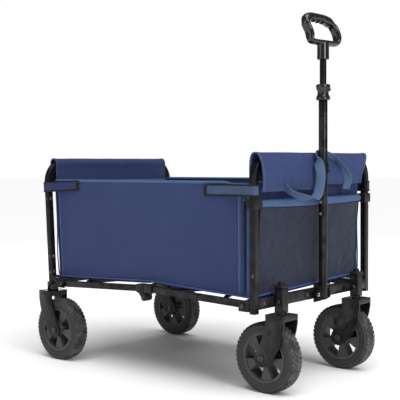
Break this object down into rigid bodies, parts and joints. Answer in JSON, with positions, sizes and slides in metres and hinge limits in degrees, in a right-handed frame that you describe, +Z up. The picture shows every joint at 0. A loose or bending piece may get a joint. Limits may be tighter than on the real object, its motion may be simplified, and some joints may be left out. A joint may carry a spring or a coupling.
{
  "type": "folding camp wagon",
  "caption": "Collapsible pull wagon: cloth basket between steel end frames, hinged floor, telescoping handle, swivel casters in front.",
  "frame": {"origin": "middle of the wagon's footprint on the ground", "axes": "+X towards the handle end, +Y to the wagon's right-hand side as seen in the plan with +X to the right, +Z up"},
  "size_m": [0.878, 0.564, 0.9526],
  "materials": {
    "frame_steel": "satin",
    "black_plastic": "matte",
    "grip_plastic": "gloss",
    "fork_steel": "satin",
    "bolt_steel": "satin",
    "basket_cloth": "woven polyester",
    "pocket_mesh": "mesh",
    "webbing": "webbing",
    "strap_webbing": "webbing",
    "floor_board": "cloth covered board",
    "button_plastic": "matte",
    "tyre": "moulded",
    "hub_plastic": "moulded"
  },
  "bodies": {
    "front_frame": {"front_hoop": "frame_steel", "front_feet": "black_plastic", "front_crossbar": "frame_steel", "front_upper_tube": "frame_steel", "front_knuckles": "black_plastic", "front_hinge_brackets": "frame_steel", "front_hinge_pins": "bolt_steel", "caster_housings": "frame_steel", "housing_caps": "black_plastic", "handle_bracket": "black_plastic", "handle_pivot_bolt": "bolt_steel", "front_end_panel": "basket_cloth", "front_flap": "basket_cloth", "front_pocket": "pocket_mesh", "carry_strap": "webbing", "side_left": "basket_cloth", "side_right": "basket_cloth", "front_corner_straps": "strap_webbing"},
    "floor_front": {"front_rails": "frame_steel", "front_brace": "frame_steel", "front_floor_board": "floor_board", "centre_hinge_front": "black_plastic"},
    "floor_rear": {"rear_rails": "frame_steel", "rear_brace": "frame_steel", "rear_floor_board": "floor_board", "centre_hinge_rear": "black_plastic", "centre_hinge_pins": "bolt_steel"},
    "rear_frame": {"rear_hoop": "frame_steel", "rear_crossbar": "frame_steel", "rear_hinge_brackets": "frame_steel", "rear_hinge_pins": "bolt_steel", "rear_fork_left": "fork_steel", "rear_fork_right": "fork_steel", "rear_axle_left": "bolt_steel", "rear_axle_right": "bolt_steel", "rear_end_panel": "basket_cloth", "rear_flap": "basket_cloth", "rear_corner_straps": "strap_webbing"},
    "handle_lower": {"handle_tube": "frame_steel", "lock_collar": "black_plastic", "pole_rivets": "bolt_steel"},
    "handle_upper": {"inner_tube": "frame_steel", "grip": "grip_plastic"},
    "lock_button": {"lock_button": "button_plastic"},
    "caster_left": {"front_fork_left": "fork_steel", "front_stem_left": "bolt_steel", "front_axle_left": "bolt_steel"},
    "caster_right": {"front_fork_right": "fork_steel", "front_stem_right": "bolt_steel", "front_axle_right": "bolt_steel"},
    "wheel_front_left": {"tyre_front_left": "tyre", "hub_front_left": "hub_plastic"},
    "wheel_front_right": {"tyre_front_right": "tyre", "hub_front_right": "hub_plastic"},
    "wheel_rear_left": {"tyre_rear_left": "tyre", "hub_rear_left": "hub_plastic"},
    "wheel_rear_right": {"tyre_rear_right": "tyre", "hub_rear_right": "hub_plastic"}
  },
  "joints": [
    {"name": "fold", "type": "hinge", "parent": "front_frame", "child": "floor_front", "pos_m": [0.34, 0, 0.226], "axis": [0, 1, 0], "range_deg": [0, 75], "deforming": ["side_left", "side_right", "front_corner_straps", "rear_corner_straps"]},
    {"name": "fold_middle", "type": "hinge", "parent": "floor_front", "child": "floor_rear", "pos_m": [0.006, 0, 0.216], "axis": [0, 1, 0], "range_deg": [-150, 0]},
    {"name": "fold_rear", "type": "hinge", "parent": "floor_rear", "child": "rear_frame", "pos_m": [-0.328, 0, 0.226], "axis": [0, 1, 0], "range_deg": [0, 75]},
    {"name": "handle_tilt", "type": "hinge", "parent": "front_frame", "child": "handle_lower", "pos_m": [0.397, 0, 0.231], "axis": [0, 1, 0], "range_deg": [0, 100]},
    {"name": "handle_slide", "type": "slide", "parent": "handle_lower", "child": "handle_upper", "axis": [0, 0, 1], "range_m": [-0.058, 0.235]},
    {"name": "lock_press", "type": "slide", "parent": "handle_lower", "child": "lock_button", "axis": [-1, 0, 0], "range_m": [0, 0.0025], "stiffness_N_per_m": 800, "springref_m": -0.001},
    {"name": "caster_left_swivel", "type": "hinge", "parent": "front_frame", "child": "caster_left", "pos_m": [0.39, -0.175, 0.2], "axis": [0, 0, 1], "continuous": true},
    {"name": "caster_right_swivel", "type": "hinge", "parent": "front_frame", "child": "caster_right", "pos_m": [0.39, 0.175, 0.2], "axis": [0, 0, 1], "continuous": true},
    {"name": "wheel_front_left_spin", "type": "hinge", "parent": "caster_left", "child": "wheel_front_left", "pos_m": [0.35, -0.175, 0.089], "axis": [0, 1, 0], "continuous": true},
    {"name": "wheel_front_right_spin", "type": "hinge", "parent": "caster_right", "child": "wheel_front_right", "pos_m": [0.35, 0.175, 0.089], "axis": [0, 1, 0], "continuous": true},
    {"name": "wheel_rear_left_spin", "type": "hinge", "parent": "rear_frame", "child": "wheel_rear_left", "pos_m": [-0.35, -0.2485, 0.089], "axis": [0, 1, 0], "continuous": true},
    {"name": "wheel_rear_right_spin", "type": "hinge", "parent": "rear_frame", "child": "wheel_rear_right", "pos_m": [-0.35, 0.2485, 0.089], "axis": [0, 1, 0], "continuous": true}
  ],
  "couplings": [
    {"joint": "fold_middle", "follows": "fold", "ratio": -2},
    {"joint": "fold_rear", "follows": "fold", "ratio": 1}
  ]
}
